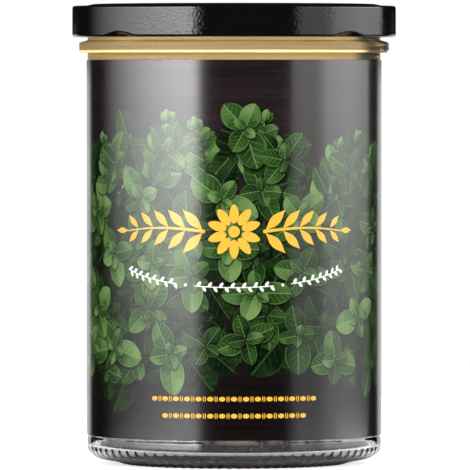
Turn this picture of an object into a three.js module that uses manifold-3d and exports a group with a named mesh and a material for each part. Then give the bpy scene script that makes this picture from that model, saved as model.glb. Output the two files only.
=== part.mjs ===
// A herb growing jar: straight glass with a wrap-round label, a gold band on its neck and a twist-off lid.
// Millimetres, +Z up, origin at the middle of the foot, with the front of the label facing -Y.
import * as THREE from "three";
import { mergeVertices } from "three/addons/utils/BufferGeometryUtils.js";
import Module from "manifold-3d";

// Driving dimensions: the lid fits an 82 mm twist-off mouth, and the rest is in proportion to it.
const LID_RADIUS = 42.65;
const LID_TOP = 121.4;
const LID_EDGE = 112.5;
const BODY_RADIUS = 38.55;
const RIM_HEIGHT = 119.3;
const LABEL_BOTTOM = 7.8;
const LABEL_TOP = 106.4;
const MEDIUM_HEIGHT = 82;

// Glass walls and floor.
const GLASS_WALL = 2.35;
const MOUTH_RADIUS = 35.7;
const RIM_ROUND = 1;
const FLOOR_HEIGHT = 4.2;
const FLOOR_CROWN = 0.6;
const INNER_HEEL = 1.8;
const OUTER_HEEL_RADIUS = 38.8;
const OUTER_HEEL_REACH = 5.75;
const OUTER_HEEL_HEIGHT = 3.4;
const OUTER_HEEL_BOTTOM = 1.2;
const OUTER_HEEL_STEP = 0.6;

// Foot: the jar stands on a plain ring round a shallow dome, and radial ribs run from it out to the heel.
const PUNT_RISE = 1.7;
const FOOT_INNER = 25;
const FOOT_OUTER = 29;
const RIB_INNER = 27;
const RIB_OUTER = 34.5;
const RIB_COUNT = 72;
const RIB_GROOVE_WIDTH = 1;
const RIB_GROOVE_DEPTH = 0.45;

// Neck: the gold band's outer face, which the glass bead under it follows.
const BAND_RADIUS = 38.6;
const BAND_BEAD_RADIUS = 40.85;
const BAND_BEAD_BOTTOM = 108.4;
const BAND_BEAD_TOP = 110.9;
const BAND_SLOPE_TOP = 111.7;
const BAND_CORNER = 0.6;
const BAND_TOP = 112.8;
const BAND_THICKNESS = 0.35;

// Thin skins round the glass, and the room left between any two pieces.
const LABEL_THICKNESS = 0.25;
const LABEL_SEAM = 3;
const SKIN_CLEAR = 0.1;
const PIECE_CLEAR = 0.3;

// Lid: a pressed sheet cap with a rolled edge, which is pushed in at each lug.
const LID_SHEET = 0.45;
const LID_RIM_HEIGHT = 120.7;
const LID_PANEL_RADIUS = 36.6;
const LID_PANEL_HEIGHT = 121.22;
const LID_PANEL_SLOPE = 3.2;
const LID_CORNER = 0.6;
const LID_ROLL = 0.9;
const LUG_COUNT = 4;
const LUG_FIRST_ANGLE = 45;
const LUG_HALF_ANGLE = 10;
const LUG_PUSH = 1.15;
const LUG_FULL_HEIGHT = 113.1;
const LUG_END_HEIGHT = 114.1;
const LUG_TOP = 113.8;
const LINER_WIDTH = 3.6;

// Threads: inclined ridges on the glass, one for each lug to slide under, in degrees from the closed lug.
const THREAD_RADIUS = 40.6;
const THREAD_HEIGHT = 1.6;
const THREAD_BEVEL = 0.4;
const THREAD_FROM = -14;
const THREAD_TO = 38;
const THREAD_TAPER = 6;
const THREAD_RISE = 0.03;
const THREAD_STEPS = 13;

// Mounds on the medium: the waves that make them, in radians a millimetre along X and Y, and their heights.
const MOUNDS = [
  { alongX: 0.31, alongY: 0.27, height: 1 },
  { alongX: 0.17, alongY: -0.52, height: 0.6 },
];

const SEGMENTS = 72;
const QUARTER = 90;
const { clamp, degToRad, lerp, radToDeg, smoothstep } = THREE.MathUtils;

const wasm = await Module();
wasm.setup();

// Points along an elliptical arc of a profile, as [radius, height], with angles in degrees.
function arc(centreRadius, centreHeight, across, up, from, to, steps) {
  return Array.from({ length: steps + 1 }, (_, i) => {
    const angle = degToRad(lerp(from, to, i / steps));
    return [centreRadius + across * Math.cos(angle), centreHeight + up * Math.sin(angle)];
  });
}

// Turns a profile round the jar's axis. The profile runs with the solid on its left.
function revolve(profile) {
  const points = profile.map(([radius, height]) => new THREE.Vector2(radius, height));
  return new THREE.LatheGeometry(points, SEGMENTS).rotateX(Math.PI / 2);
}

// A closed ring of a section that doesn't touch the axis.
function revolveRing(section) {
  return revolve([...section, section[0]]);
}

// The point at a radius and height, at an angle in degrees round the axis from +X.
function around(radius, height, angle) {
  const turn = degToRad(angle);
  return new THREE.Vector3(radius * Math.cos(turn), radius * Math.sin(turn), height);
}

// Joins matching outlines, each a ring of points, into one closed skin with flat ends.
function loft(outlines) {
  const sides = outlines[0].length;
  const last = (outlines.length - 1) * sides;
  const index = [];
  for (let start = 0; start < last; start += sides) {
    for (let side = 0; side < sides; side += 1) {
      const a = start + side;
      const b = start + ((side + 1) % sides);
      index.push(a, b + sides, b, a, a + sides, b + sides);
    }
  }
  for (let side = 1; side + 1 < sides; side += 1) {
    index.push(0, side, side + 1, last, last + side + 1, last + side);
  }
  const geometry = new THREE.BufferGeometry().setFromPoints(outlines.flat());
  geometry.setIndex(index);
  return geometry;
}

function toSolid(geometry) {
  const bare = geometry.clone();
  bare.deleteAttribute("normal");
  bare.deleteAttribute("uv");
  const merged = mergeVertices(bare, 1e-4);
  const vertProperties = new Float32Array(merged.attributes.position.array);
  const triVerts = new Uint32Array(merged.index.array);
  return new wasm.Manifold(new wasm.Mesh({ numProp: 3, vertProperties, triVerts }));
}

function toGeometry(solid) {
  const { vertProperties, triVerts } = solid.getMesh();
  const geometry = new THREE.BufferGeometry();
  geometry.setAttribute("position", new THREE.BufferAttribute(vertProperties, 3));
  geometry.setIndex(new THREE.BufferAttribute(triVerts, 1));
  geometry.computeVertexNormals();
  return geometry;
}

// The gold band's outer face from one height to another, drawn in by a distance for what lies under it.
function neckOutline(inset, from, to) {
  const neck = BAND_RADIUS - inset;
  const bead = BAND_BEAD_RADIUS - inset - BAND_CORNER;
  const bottom = BAND_BEAD_BOTTOM + inset + BAND_CORNER;
  const top = BAND_BEAD_TOP - inset - BAND_CORNER / 2;
  return [
    [neck, from],
    [neck, BAND_BEAD_BOTTOM + inset],
    ...arc(bead, bottom, BAND_CORNER, BAND_CORNER, -90, 0, 2),
    ...arc(bead, top, BAND_CORNER, BAND_CORNER, 0, 70, 2),
    [neck, BAND_SLOPE_TOP - inset],
    [neck, to],
  ];
}

// The inside of the jar from the middle of its floor to the foot of its wall, drawn in by a distance.
function floorOutline(inset) {
  const wall = BODY_RADIUS - GLASS_WALL - inset;
  const floor = FLOOR_HEIGHT + inset;
  return [
    [0, floor + FLOOR_CROWN],
    [wall / 2, floor + FLOOR_CROWN / 2],
    ...arc(wall - INNER_HEEL, floor + INNER_HEEL, INNER_HEEL, INNER_HEEL, -90, 0, 3),
  ];
}

function glassOutline() {
  const inset = BAND_THICKNESS + SKIN_CLEAR;
  const heelRadius = OUTER_HEEL_RADIUS - OUTER_HEEL_REACH;
  const heelHeight = OUTER_HEEL_BOTTOM + OUTER_HEEL_HEIGHT;
  return [
    ...arc(0, 0, FOOT_INNER, PUNT_RISE, 90, 0, 3),
    [FOOT_OUTER, 0],
    ...arc(heelRadius, heelHeight, OUTER_HEEL_REACH, OUTER_HEEL_HEIGHT, -90, 0, 5),
    [OUTER_HEEL_RADIUS, LABEL_BOTTOM - PIECE_CLEAR - OUTER_HEEL_STEP],
    [BODY_RADIUS, LABEL_BOTTOM - PIECE_CLEAR],
    [BODY_RADIUS, LABEL_TOP - PIECE_CLEAR],
    ...neckOutline(inset, LABEL_TOP - SKIN_CLEAR, BAND_TOP + SKIN_CLEAR),
    [BAND_RADIUS, BAND_TOP + PIECE_CLEAR],
    [BAND_RADIUS, RIM_HEIGHT - RIM_ROUND],
    [BAND_RADIUS - RIM_ROUND, RIM_HEIGHT],
    [MOUTH_RADIUS + RIM_ROUND, RIM_HEIGHT],
    [MOUTH_RADIUS, RIM_HEIGHT - RIM_ROUND],
    [MOUTH_RADIUS, BAND_BEAD_BOTTOM],
    [BODY_RADIUS - GLASS_WALL, LABEL_TOP - GLASS_WALL],
    ...floorOutline(0).reverse(),
  ];
}

// The gap between two ribs: a radial slot whose floor climbs with the heel and runs out at both ends.
function ribGroove() {
  const under = -1;
  const shape = new THREE.Shape([
    new THREE.Vector2(RIB_INNER, under),
    new THREE.Vector2(RIB_OUTER, under),
    new THREE.Vector2(RIB_OUTER, OUTER_HEEL_BOTTOM),
    new THREE.Vector2(FOOT_OUTER, RIB_GROOVE_DEPTH),
    new THREE.Vector2(RIB_INNER + RIB_GROOVE_DEPTH, RIB_GROOVE_DEPTH),
    new THREE.Vector2(RIB_INNER, 0),
  ]);
  const groove = new THREE.ExtrudeGeometry(shape, { depth: RIB_GROOVE_WIDTH, bevelEnabled: false });
  return groove.translate(0, 0, -RIB_GROOVE_WIDTH / 2).rotateX(Math.PI / 2);
}

// One thread: a ridge on the finish that climbs from above a lug's place and thins out at both ends.
function thread(lugAngle) {
  const root = BAND_RADIUS - PIECE_CLEAR;
  const outlines = [];
  for (let step = 0; step <= THREAD_STEPS; step += 1) {
    const angle = lerp(THREAD_FROM, THREAD_TO, step / THREAD_STEPS);
    const fromEnd = Math.min(angle - THREAD_FROM, THREAD_TO - angle);
    const crest = lerp(BAND_RADIUS - PIECE_CLEAR / 2, THREAD_RADIUS, clamp(fromEnd / THREAD_TAPER, 0, 1));
    const under = LUG_TOP + PIECE_CLEAR + THREAD_RISE * (angle + LUG_HALF_ANGLE);
    const section = [
      [root, under],
      [crest, under + THREAD_BEVEL],
      [crest, under + THREAD_HEIGHT - THREAD_BEVEL],
      [root, under + THREAD_HEIGHT],
    ];
    outlines.push(section.map(([radius, height]) => around(radius, height, lugAngle + angle)));
  }
  return loft(outlines);
}

function glassJar() {
  let jar = toSolid(revolve(glassOutline()));
  const groove = ribGroove();
  for (let rib = 0; rib < RIB_COUNT; rib += 1) {
    const turn = (2 * Math.PI * (rib + 0.5)) / RIB_COUNT;
    jar = jar.subtract(toSolid(groove.clone().rotateZ(turn)));
  }
  for (let lug = 0; lug < LUG_COUNT; lug += 1) {
    jar = jar.add(toSolid(thread(LUG_FIRST_ANGLE + QUARTER * lug)));
  }
  return toGeometry(jar);
}

function neckBand() {
  const from = LABEL_TOP + SKIN_CLEAR;
  const inner = neckOutline(BAND_THICKNESS, from, BAND_TOP).reverse();
  return revolveRing([...neckOutline(0, from, BAND_TOP), ...inner]);
}

// The label goes once round the glass, and its two ends stop short of each other at the back.
function label() {
  const inner = BODY_RADIUS + SKIN_CLEAR;
  const outer = inner + LABEL_THICKNESS;
  const halfSeam = LABEL_SEAM / 2 / outer;
  const start = Math.PI / 2 + halfSeam;
  const end = Math.PI / 2 - halfSeam + 2 * Math.PI;
  const shape = new THREE.Shape();
  shape.absarc(0, 0, outer, start, end, false);
  shape.absarc(0, 0, inner, end, start, true);
  const settings = { depth: LABEL_TOP - LABEL_BOTTOM, bevelEnabled: false, curveSegments: SEGMENTS };
  return new THREE.ExtrudeGeometry(shape, settings).translate(0, 0, LABEL_BOTTOM);
}

// The sheet runs flat round the rim, slopes up to a raised panel and is very slightly domed across it.
function lidOutline() {
  const inside = LID_RADIUS - LID_SHEET;
  const roll = LID_RADIUS - LID_ROLL;
  const slopeFoot = LID_PANEL_RADIUS + LID_PANEL_SLOPE;
  const corner = LID_RADIUS - LID_CORNER;
  return [
    [0, LID_TOP - LID_SHEET],
    [LID_PANEL_RADIUS, LID_PANEL_HEIGHT - LID_SHEET],
    [slopeFoot, LID_RIM_HEIGHT - LID_SHEET],
    [inside - LID_SHEET, LID_RIM_HEIGHT - LID_SHEET],
    [inside, LID_RIM_HEIGHT - 2 * LID_SHEET],
    [inside, LUG_END_HEIGHT + LID_SHEET],
    ...arc(roll, LID_EDGE + LID_ROLL, LID_ROLL, LID_ROLL, 150, 360, 7),
    [LID_RADIUS, LUG_END_HEIGHT],
    ...arc(corner, LID_RIM_HEIGHT - LID_CORNER, LID_CORNER, LID_CORNER, 0, 90, 2),
    [slopeFoot, LID_RIM_HEIGHT],
    [LID_PANEL_RADIUS, LID_PANEL_HEIGHT],
    [0, LID_TOP],
  ];
}

// How far the rolled edge is pushed in at a point: fully in the middle of a lug, and not at all between lugs.
function lugPush(point) {
  const angle = radToDeg(Math.atan2(point.y, point.x)) - LUG_FIRST_ANGLE;
  const fromLug = Math.abs(angle - QUARTER * Math.round(angle / QUARTER));
  const along = Math.cos((Math.min(fromLug / LUG_HALF_ANGLE, 1) * Math.PI) / 2) ** 2;
  const up = 1 - smoothstep(point.z, LUG_FULL_HEIGHT, LUG_END_HEIGHT);
  return LUG_PUSH * along * up;
}

function lid() {
  const geometry = revolve(lidOutline());
  const position = geometry.attributes.position;
  for (let i = 0; i < position.count; i += 1) {
    const point = new THREE.Vector3().fromBufferAttribute(position, i);
    const inward = new THREE.Vector3(-point.x, -point.y, 0).setLength(lugPush(point));
    position.setXYZ(i, ...point.add(inward).toArray());
  }
  return geometry;
}

// The sealing ring under the lid, which bears on the jar's rim.
function lidLiner() {
  const outer = MOUTH_RADIUS + LINER_WIDTH;
  const bottom = RIM_HEIGHT + PIECE_CLEAR;
  const underPanel = LID_PANEL_HEIGHT - LID_SHEET - SKIN_CLEAR;
  const underRim = LID_RIM_HEIGHT - LID_SHEET - SKIN_CLEAR;
  return revolveRing([
    [MOUTH_RADIUS, bottom],
    [outer, bottom],
    [outer, underRim],
    [LID_PANEL_RADIUS, underPanel],
    [MOUTH_RADIUS, underPanel],
  ]);
}

function moundHeight(x, y) {
  return MOUNDS.reduce((sum, wave) => sum + wave.height * Math.sin(wave.alongX * x + wave.alongY * y), 0);
}

// Loose medium: its sides follow the glass, and its top is a low rolling surface of small mounds.
function growingMedium() {
  const wall = BODY_RADIUS - GLASS_WALL - PIECE_CLEAR;
  const rings = 7;
  const top = Array.from({ length: rings + 1 }, (_, i) => [wall * (1 - i / rings), MEDIUM_HEIGHT]);
  const geometry = revolve([...floorOutline(PIECE_CLEAR), ...top]);
  const position = geometry.attributes.position;
  for (let i = 0; i < position.count; i += 1) {
    if (position.getZ(i) > MEDIUM_HEIGHT - PIECE_CLEAR) {
      position.setZ(i, MEDIUM_HEIGHT + moundHeight(position.getX(i), position.getY(i)));
    }
  }
  return geometry;
}

function piece(name, geometry, color, roughness, metalness, opacity = 1) {
  const material = new THREE.MeshStandardMaterial({ color, roughness, metalness });
  material.opacity = opacity;
  material.transparent = opacity < 1;
  const mesh = new THREE.Mesh(geometry, material);
  mesh.name = name;
  return mesh;
}

const jar = new THREE.Group();
jar.add(piece("glass_jar", glassJar(), "#dfe6e3", 0.05, 0, 0.35));
jar.add(piece("growing_medium", growingMedium(), "#2b1a12", 0.95, 0));
jar.add(piece("label", label(), "#2e2023", 0.25, 0));
jar.add(piece("neck_band", neckBand(), "#b39b62", 0.4, 0.5));

const cap = new THREE.Group();
cap.add(piece("lid", lid(), "#0c0c0d", 0.2, 0.1));
cap.add(piece("lid_liner", lidLiner(), "#b9b4a6", 0.7, 0));

const herbJar = new THREE.Group();
herbJar.add(jar, cap);

export default herbJar;
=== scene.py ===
"""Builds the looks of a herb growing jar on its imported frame: glass, soil, label, gold band and lid."""

import collections
import math
import random

import bpy
import numpy as np
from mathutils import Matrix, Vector, noise
from mathutils.geometry import delaunay_2d_cdt


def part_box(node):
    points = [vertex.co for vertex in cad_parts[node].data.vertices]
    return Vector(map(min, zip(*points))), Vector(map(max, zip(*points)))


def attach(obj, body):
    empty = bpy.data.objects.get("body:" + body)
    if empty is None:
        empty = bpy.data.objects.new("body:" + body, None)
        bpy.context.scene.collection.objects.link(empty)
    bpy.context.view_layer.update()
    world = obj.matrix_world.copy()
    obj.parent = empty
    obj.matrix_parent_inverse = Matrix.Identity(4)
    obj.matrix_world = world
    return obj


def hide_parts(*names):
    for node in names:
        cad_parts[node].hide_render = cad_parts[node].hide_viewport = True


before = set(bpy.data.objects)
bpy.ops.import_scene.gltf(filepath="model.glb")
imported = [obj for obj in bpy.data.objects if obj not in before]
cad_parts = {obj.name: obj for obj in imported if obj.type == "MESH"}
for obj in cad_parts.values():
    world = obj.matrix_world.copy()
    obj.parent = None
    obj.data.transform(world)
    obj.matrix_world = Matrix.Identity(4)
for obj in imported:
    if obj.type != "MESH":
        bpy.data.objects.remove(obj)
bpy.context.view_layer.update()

bl_info = {
    "name": "Herb growing jar",
    "version": (1, 0, 0),
    "blender": (4, 5, 0),
    "location": "View3D > Sidebar > Herb jar",
    "description": "Makes the pieces of a herb growing jar and the stage it is shown on",
    "category": "Object",
}

MM = 0.001
TURN = 2 * math.pi

# Sizes that the pieces share, in metres, from the frame where it has them.
# Angles round the jar start at its front, which faces -Y, and go towards +X.
LABEL_LOW, LABEL_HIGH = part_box("label")
BAND_LOW, BAND_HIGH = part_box("neck_band")
LID_LOW, LID_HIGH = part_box("lid")
GLASS_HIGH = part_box("glass_jar")[1]
LINER_LOW, LINER_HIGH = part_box("lid_liner")
MEDIUM_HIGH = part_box("growing_medium")[1]
BODY_RADIUS = 38.55 * MM
GLASS_WALL = 2.35 * MM
MOUTH_RADIUS = 35.7 * MM
NECK_RADIUS = 38.15 * MM
FINISH_RADIUS = 38.6 * MM
SHOULDER_HEIGHT = LABEL_HIGH.z - 0.3 * MM
BEAD_BOTTOM = 108.4 * MM
BEAD_TOP = 110.9 * MM
BEAD_SLOPE_TOP = 111.7 * MM
FLOOR_HEIGHT = 4 * MM
FLOOR_CROWN = 0.6 * MM
INNER_HEEL = 1.4 * MM
PUNT_RISE = 1.7 * MM
FOOT_INNER = 25 * MM
FOOT_OUTER = 29 * MM
HEEL_RADIUS = 38.8 * MM
HEEL_REACH = 5.75 * MM
HEEL_RISE = 3.4 * MM
HEEL_BOTTOM = 1.2 * MM
HEEL_TOP = LABEL_LOW.z - 0.9 * MM
LABEL_THICKNESS = 0.25 * MM
PANEL_RADIUS = 36.6 * MM

# Where the first lug is, and how far apart they are, in degrees.
LUG_ANGLE = 45
LUG_PITCH = 90


def arc(centre, across, up, start, end, steps):
    """Points along part of an ellipse round centre, a (radius, height) pair, with its angles in degrees."""
    turns = [math.radians(start + (end - start) * i / steps) for i in range(steps + 1)]
    return [(centre[0] + across * math.cos(t), centre[1] + up * math.sin(t)) for t in turns]


def line(start, end, steps):
    """Points after start, evenly along the way to end."""
    return [
        (start[0] + (end[0] - start[0]) * i / steps, start[1] + (end[1] - start[1]) * i / steps)
        for i in range(1, steps + 1)
    ]


def smoothstep(value, low, high):
    """value as it goes from low to high, eased from 0 to 1."""
    t = np.clip((value - low) / (high - low), 0, 1)
    return t * t * (3 - 2 * t)


def add_piece(name, mesh, body, slot, *nodes):
    """Links a mesh as a piece that rides on a body and stands for its nodes."""
    piece = bpy.data.objects.new(name, mesh)
    bpy.context.scene.collection.objects.link(piece)
    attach(piece, body)
    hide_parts(*nodes)
    return piece


def new_mesh(name, verts, faces, **maps):
    """A mesh with its maps by name, each with a place for every corner."""
    mesh = bpy.data.meshes.new(name)
    mesh.from_pydata(verts, [], faces)
    for map_name, places in maps.items():
        mesh.uv_layers.new(name=map_name).data.foreach_set("uv", np.array(places, float).ravel())
    return mesh


def turned(name, outline, segments, crease, reshape=None):
    """A mesh turned round the axis from an outline of (radius, height) points, with the solid on its left.

    An outline that starts and ends on the axis is closed there, and any other is a ring. reshape takes and
    returns grids of radii and heights, with the grid of angles. Faces that meet at more than crease degrees
    keep a sharp edge."""
    ring = outline[0][0] > 0
    rows = len(outline)
    angles = np.linspace(-math.pi, math.pi, segments, endpoint=False)
    radius = np.repeat(np.array([p[0] for p in outline])[:, None], segments, 1)
    height = np.repeat(np.array([p[1] for p in outline])[:, None], segments, 1)
    if reshape:
        radius, height = reshape(radius, height, np.broadcast_to(angles, radius.shape))
    points = np.stack([radius * np.sin(angles), -radius * np.cos(angles), height], 2)
    first, last = (0, rows) if ring else (1, rows - 1)
    verts = points[first:last].reshape(-1, 3).tolist()
    steps = np.hypot(*np.diff(np.array(outline + outline[:1]), axis=0).T)
    along = np.concatenate([[0], np.cumsum(steps)])
    faces, wrap = [], []

    def spot(row, column):
        return (row - first) * segments + column % segments

    def mapped(row, column):
        return (column / segments * TURN * BODY_RADIUS, along[row])

    spans = range(rows) if ring else range(1, rows - 2)
    for row in spans:
        above = (row + 1) % rows
        for column in range(segments):
            corners = [(row, column), (row, column + 1), (row + 1, column + 1), (row + 1, column)]
            faces.append([spot(above if r == row + 1 else r, c) for r, c in corners])
            wrap += [mapped(r, c) for r, c in corners]
    if not ring:
        for row, pole_row, flip in ((1, 0, True), (rows - 2, rows - 1, False)):
            verts.append([0, 0, outline[pole_row][1]])
            for column in range(segments):
                corners = [(row, column), (row, column + 1)][:: -1 if flip else 1]
                faces.append([spot(r, c) for r, c in corners] + [len(verts) - 1])
                wrap += [mapped(r, c) for r, c in corners] + [mapped(pole_row, column + 0.5)]
    mesh = new_mesh(name, verts, faces, wrap=wrap)
    mesh.shade_smooth()
    mesh.set_sharp_from_angle(angle=math.radians(crease))
    return mesh


def feed(tree, socket, value):
    """Links a socket to another, or gives it a plain value."""
    if isinstance(value, bpy.types.NodeSocket):
        tree.links.new(value, socket)
    elif value is not None:
        socket.default_value = value


def node(tree, kind, inputs=None, **settings):
    """Adds a shader node, with its settings and its inputs by name."""
    made = tree.nodes.new("ShaderNode" + kind)
    for name, value in settings.items():
        setattr(made, name, value)
    for name, value in (inputs or {}).items():
        feed(tree, made.inputs[name], value)
    return made


def calc(tree, operation, *values):
    """The result of one step of arithmetic."""
    made = tree.nodes.new("ShaderNodeMath")
    made.operation = operation
    for socket, value in zip(made.inputs, values):
        feed(tree, socket, value)
    return made.outputs[0]


def times(tree, product, *factors):
    """The product of several values."""
    for factor in factors:
        product = calc(tree, "MULTIPLY", product, factor)
    return product


def remap(tree, value, low, high, to_low=0.0, to_high=1.0):
    """value as it goes from low to high, eased from to_low to to_high."""
    settings = {"From Min": low, "From Max": high, "To Min": to_low, "To Max": to_high, "Value": value}
    return node(tree, "MapRange", settings, interpolation_type="SMOOTHSTEP").outputs[0]


def blend(tree, share, under, over, way="MIX"):
    """A colour between two others."""
    made = node(tree, "Mix", data_type="RGBA", blend_type=way)
    for index, value in ((0, share), (6, under), (7, over)):
        feed(tree, made.inputs[index], value)
    return made.outputs[2]


def dimmed(tree, colour, strength):
    """A colour times a strength."""
    grey = node(tree, "CombineColor", {0: strength, 1: strength, 2: strength}).outputs[0]
    return blend(tree, 1.0, colour, grey, "MULTIPLY")


def parts(tree, point):
    """The three coordinates of a point."""
    return node(tree, "SeparateXYZ", {0: point}).outputs


def stretched(tree, point, scale):
    """A point with each of its coordinates scaled."""
    return node(tree, "VectorMath", {0: point, 1: scale}, operation="MULTIPLY").outputs[0]


def speckle(tree, point, scale, detail=3.0, roughness=0.5):
    """Soft noise from 0 to 1 at a point."""
    inputs = {"Vector": point, "Scale": scale, "Detail": detail, "Roughness": roughness}
    return node(tree, "TexNoise", inputs).outputs["Fac"]


def map_point(tree, name):
    """The place on a named map of the mesh, as a point."""
    return node(tree, "UVMap", uv_map=name).outputs[0]


def object_point(tree):
    return node(tree, "TexCoord").outputs["Object"]


def finish(name, **sockets):
    """A new material, with its tree and its main shader."""
    material = bpy.data.materials.new(name)
    material.use_nodes = True
    shader = material.node_tree.nodes["Principled BSDF"]
    for socket, value in sockets.items():
        feed(material.node_tree, shader.inputs[socket.replace("_", " ")], value)
    return material, material.node_tree, shader


def roughen(tree, shader, height, distance, strength=1.0):
    """Gives a shader fine relief."""
    bump = node(tree, "Bump", {"Height": height, "Distance": distance, "Strength": strength})
    feed(tree, shader.inputs["Normal"], bump.outputs[0])


def colour_prop(name, description, default):
    return bpy.props.FloatVectorProperty(
        name=name,
        description=description,
        default=(*default, 1.0),
        subtype="COLOR",
        size=4,
        min=0.0,
        max=1.0,
    )


def length_prop(name, description, default):
    return bpy.props.FloatProperty(
        name=name,
        description=description,
        default=default,
        unit="LENGTH",
        subtype="DISTANCE",
        min=0.0,
        precision=5,
    )


def share_prop(name, description, default, high=1.0):
    return bpy.props.FloatProperty(name=name, description=description, default=default, min=0.0, max=high)


def count_prop(name, description, default):
    return bpy.props.IntProperty(name=name, description=description, default=default, min=1)


class StageSettings(bpy.types.PropertyGroup):
    """The camera, the floor and the soft boxes round the jar."""

    distance: length_prop("Camera distance", "From the lens to the middle of the jar", 2.0)
    height_angle: bpy.props.FloatProperty(
        name="Camera height",
        description="Angle above eye level",
        default=math.radians(1.22),
        subtype="ANGLE",
    )
    aim: bpy.props.FloatVectorProperty(
        name="Aim",
        description="Point that the camera looks at",
        default=(0.00024, 0.0, 0.0603),
        subtype="XYZ",
    )
    lens: bpy.props.FloatProperty(name="Lens", description="Focal length, mm", default=580.5, min=1.0)
    floor_radius: length_prop("Floor radius", "Half the width of the round floor", 0.42)
    reach: length_prop("Soft box distance", "From the jar to each soft box", 1.0)
    box_top: length_prop("Soft box top", "How high each soft box reaches", 0.42)
    box_foot: length_prop("Soft box foot", "How far each soft box reaches below the floor", 0.6)
    back_top: length_prop("Backdrop top", "How high the backdrop reaches", 0.106)
    left_light: share_prop("Left light", "Brightness of the left soft box near its inner edge", 7.9, 50)
    right_light: share_prop("Right light", "Brightness of the right soft box where it is brightest", 3.0, 50)
    back_light: share_prop("Back light", "Brightness of the backdrop", 1.0, 50)
    fill_light: share_prop("Fill light", "Brightness of the broad soft box in front", 3.1, 50)
    top_light: share_prop("Top light", "Brightness of the soft box overhead", 8.0, 50)


class GlassSettings(bpy.types.PropertyGroup):
    """The jar."""

    tint: colour_prop("Tint", "Colour of the glass", (0.97, 0.985, 0.98))
    rib_count: count_prop("Ribs", "Ribs round the heel", 72)
    rib_depth: length_prop("Rib depth", "How deep the grooves between ribs are", 0.3 * MM)


class MediumSettings(bpy.types.PropertyGroup):
    """The growing medium."""

    dark: colour_prop("Dark", "Colour of damp compost", (0.004, 0.002, 0.0015))
    light: colour_prop("Light", "Colour of dry crumbs and fibres", (0.024, 0.01, 0.006))
    crumb: length_prop("Crumb size", "Width of the larger crumbs", 1.6 * MM)


class LabelSettings(bpy.types.PropertyGroup):
    """The printed label."""

    ground: colour_prop("Ground", "Dark wood grain behind the print", (0.0095, 0.0058, 0.006))
    leaf_dark: colour_prop("Dark leaf", "Leaves in the shade", (0.0003, 0.0055, 0.0004))
    leaf_mid: colour_prop("Leaf", "Most leaves", (0.015, 0.052, 0.006))
    leaf_light: colour_prop("Light leaf", "Leaves in the light", (0.1, 0.18, 0.05))
    stem: colour_prop("Stem", "Stems of the herb", (0.22, 0.16, 0.09))
    gold: colour_prop("Gold", "Gold ink", (0.62, 0.34, 0.028))
    white: colour_prop("White", "White ink", (0.6, 0.6, 0.57))
    gloss: share_prop("Varnish roughness", "How soft the reflections on the varnish are", 0.18)
    leaf_length: length_prop("Leaf length", "Length of a full-grown leaf", 8.6 * MM)
    seam: length_prop("Seam", "Gap between the label's two ends", 3 * MM)
    seed: count_prop("Seed", "Start of the random draw that lays out the leaves", 11)


class BandSettings(bpy.types.PropertyGroup):
    """The gold band round the neck."""

    gold: colour_prop("Gold", "Colour of the band", (0.3, 0.215, 0.095))
    thickness: length_prop("Thickness", "Thickness of the band", 0.35 * MM)


class LidSettings(bpy.types.PropertyGroup):
    """The twist-off lid."""

    lacquer: colour_prop("Lacquer", "Colour of the outside", (0.0022, 0.0022, 0.0023))
    sheet: length_prop("Sheet", "Thickness of the sheet", 0.45 * MM)
    corner: length_prop("Corner", "Rounding at the top of the skirt", 0.65 * MM)
    roll: length_prop("Roll", "Radius of the rolled edge", 0.9 * MM)
    curl: length_prop("Curl", "Rounding at the outer foot of the rolled edge", 0.62 * MM)
    lug_push: length_prop("Lug push", "How far the edge is pressed in at a lug", 1.15 * MM)


class LinerSettings(bpy.types.PropertyGroup):
    """The sealing ring in the lid."""

    rubber: colour_prop("Rubber", "Colour of the ring", (0.48, 0.45, 0.38))


class HerbJarSettings(bpy.types.PropertyGroup):
    """Everything a user can set."""

    stage: bpy.props.PointerProperty(type=StageSettings)
    glass: bpy.props.PointerProperty(type=GlassSettings)
    medium: bpy.props.PointerProperty(type=MediumSettings)
    label: bpy.props.PointerProperty(type=LabelSettings)
    band: bpy.props.PointerProperty(type=BandSettings)
    lid: bpy.props.PointerProperty(type=LidSettings)
    liner: bpy.props.PointerProperty(type=LinerSettings)


# The stage


def glow(name, paint):
    """A material that only gives light, as strong as paint(tree) says."""
    material = bpy.data.materials.new(name)
    material.use_nodes = True
    tree = material.node_tree
    tree.nodes.clear()
    lamp = node(tree, "Emission", {"Strength": paint(tree)})
    node(tree, "OutputMaterial", {"Surface": lamp.outputs[0]})
    return material


def soft_box(name, start, end, low, high, reach, paint, level=0.0):
    """An upright curved light round the jar, between two angles in degrees from the camera's side.

    Its map runs from 0 to 1 along it, and up it in metres, counted from level. paint(tree) gives its
    strength."""
    steps = max(4, round(abs(end - start)))
    verts, faces, spots = [], [], []
    for i in range(steps + 1):
        turn = math.radians(start + (end - start) * i / steps)
        for up in (low, high):
            verts.append((reach * math.sin(turn), -reach * math.cos(turn), up))
    for i in range(steps):
        faces.append([2 * i, 2 * i + 1, 2 * i + 3, 2 * i + 2])
        near, far = i / steps, (i + 1) / steps
        foot, top = level + low, level + high
        spots += [(near, foot), (near, top), (far, top), (far, foot)]
    place_stage(name, new_mesh(name, verts, faces, panel=spots), glow(name, paint))


def place_stage(name, mesh, material):
    """Links a piece of the stage. Its name decides which rays meet it."""
    mesh.materials.append(material)
    item = bpy.data.objects.new(name, mesh)
    bpy.context.scene.collection.objects.link(item)
    item.visible_camera = "floor" in name
    item.visible_glossy = name not in ("outer_floor", "top_light", "fill_light", "back_fill")
    item.visible_diffuse = name not in ("left_light", "right_light", "low_left_light", "low_right_light")


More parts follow.
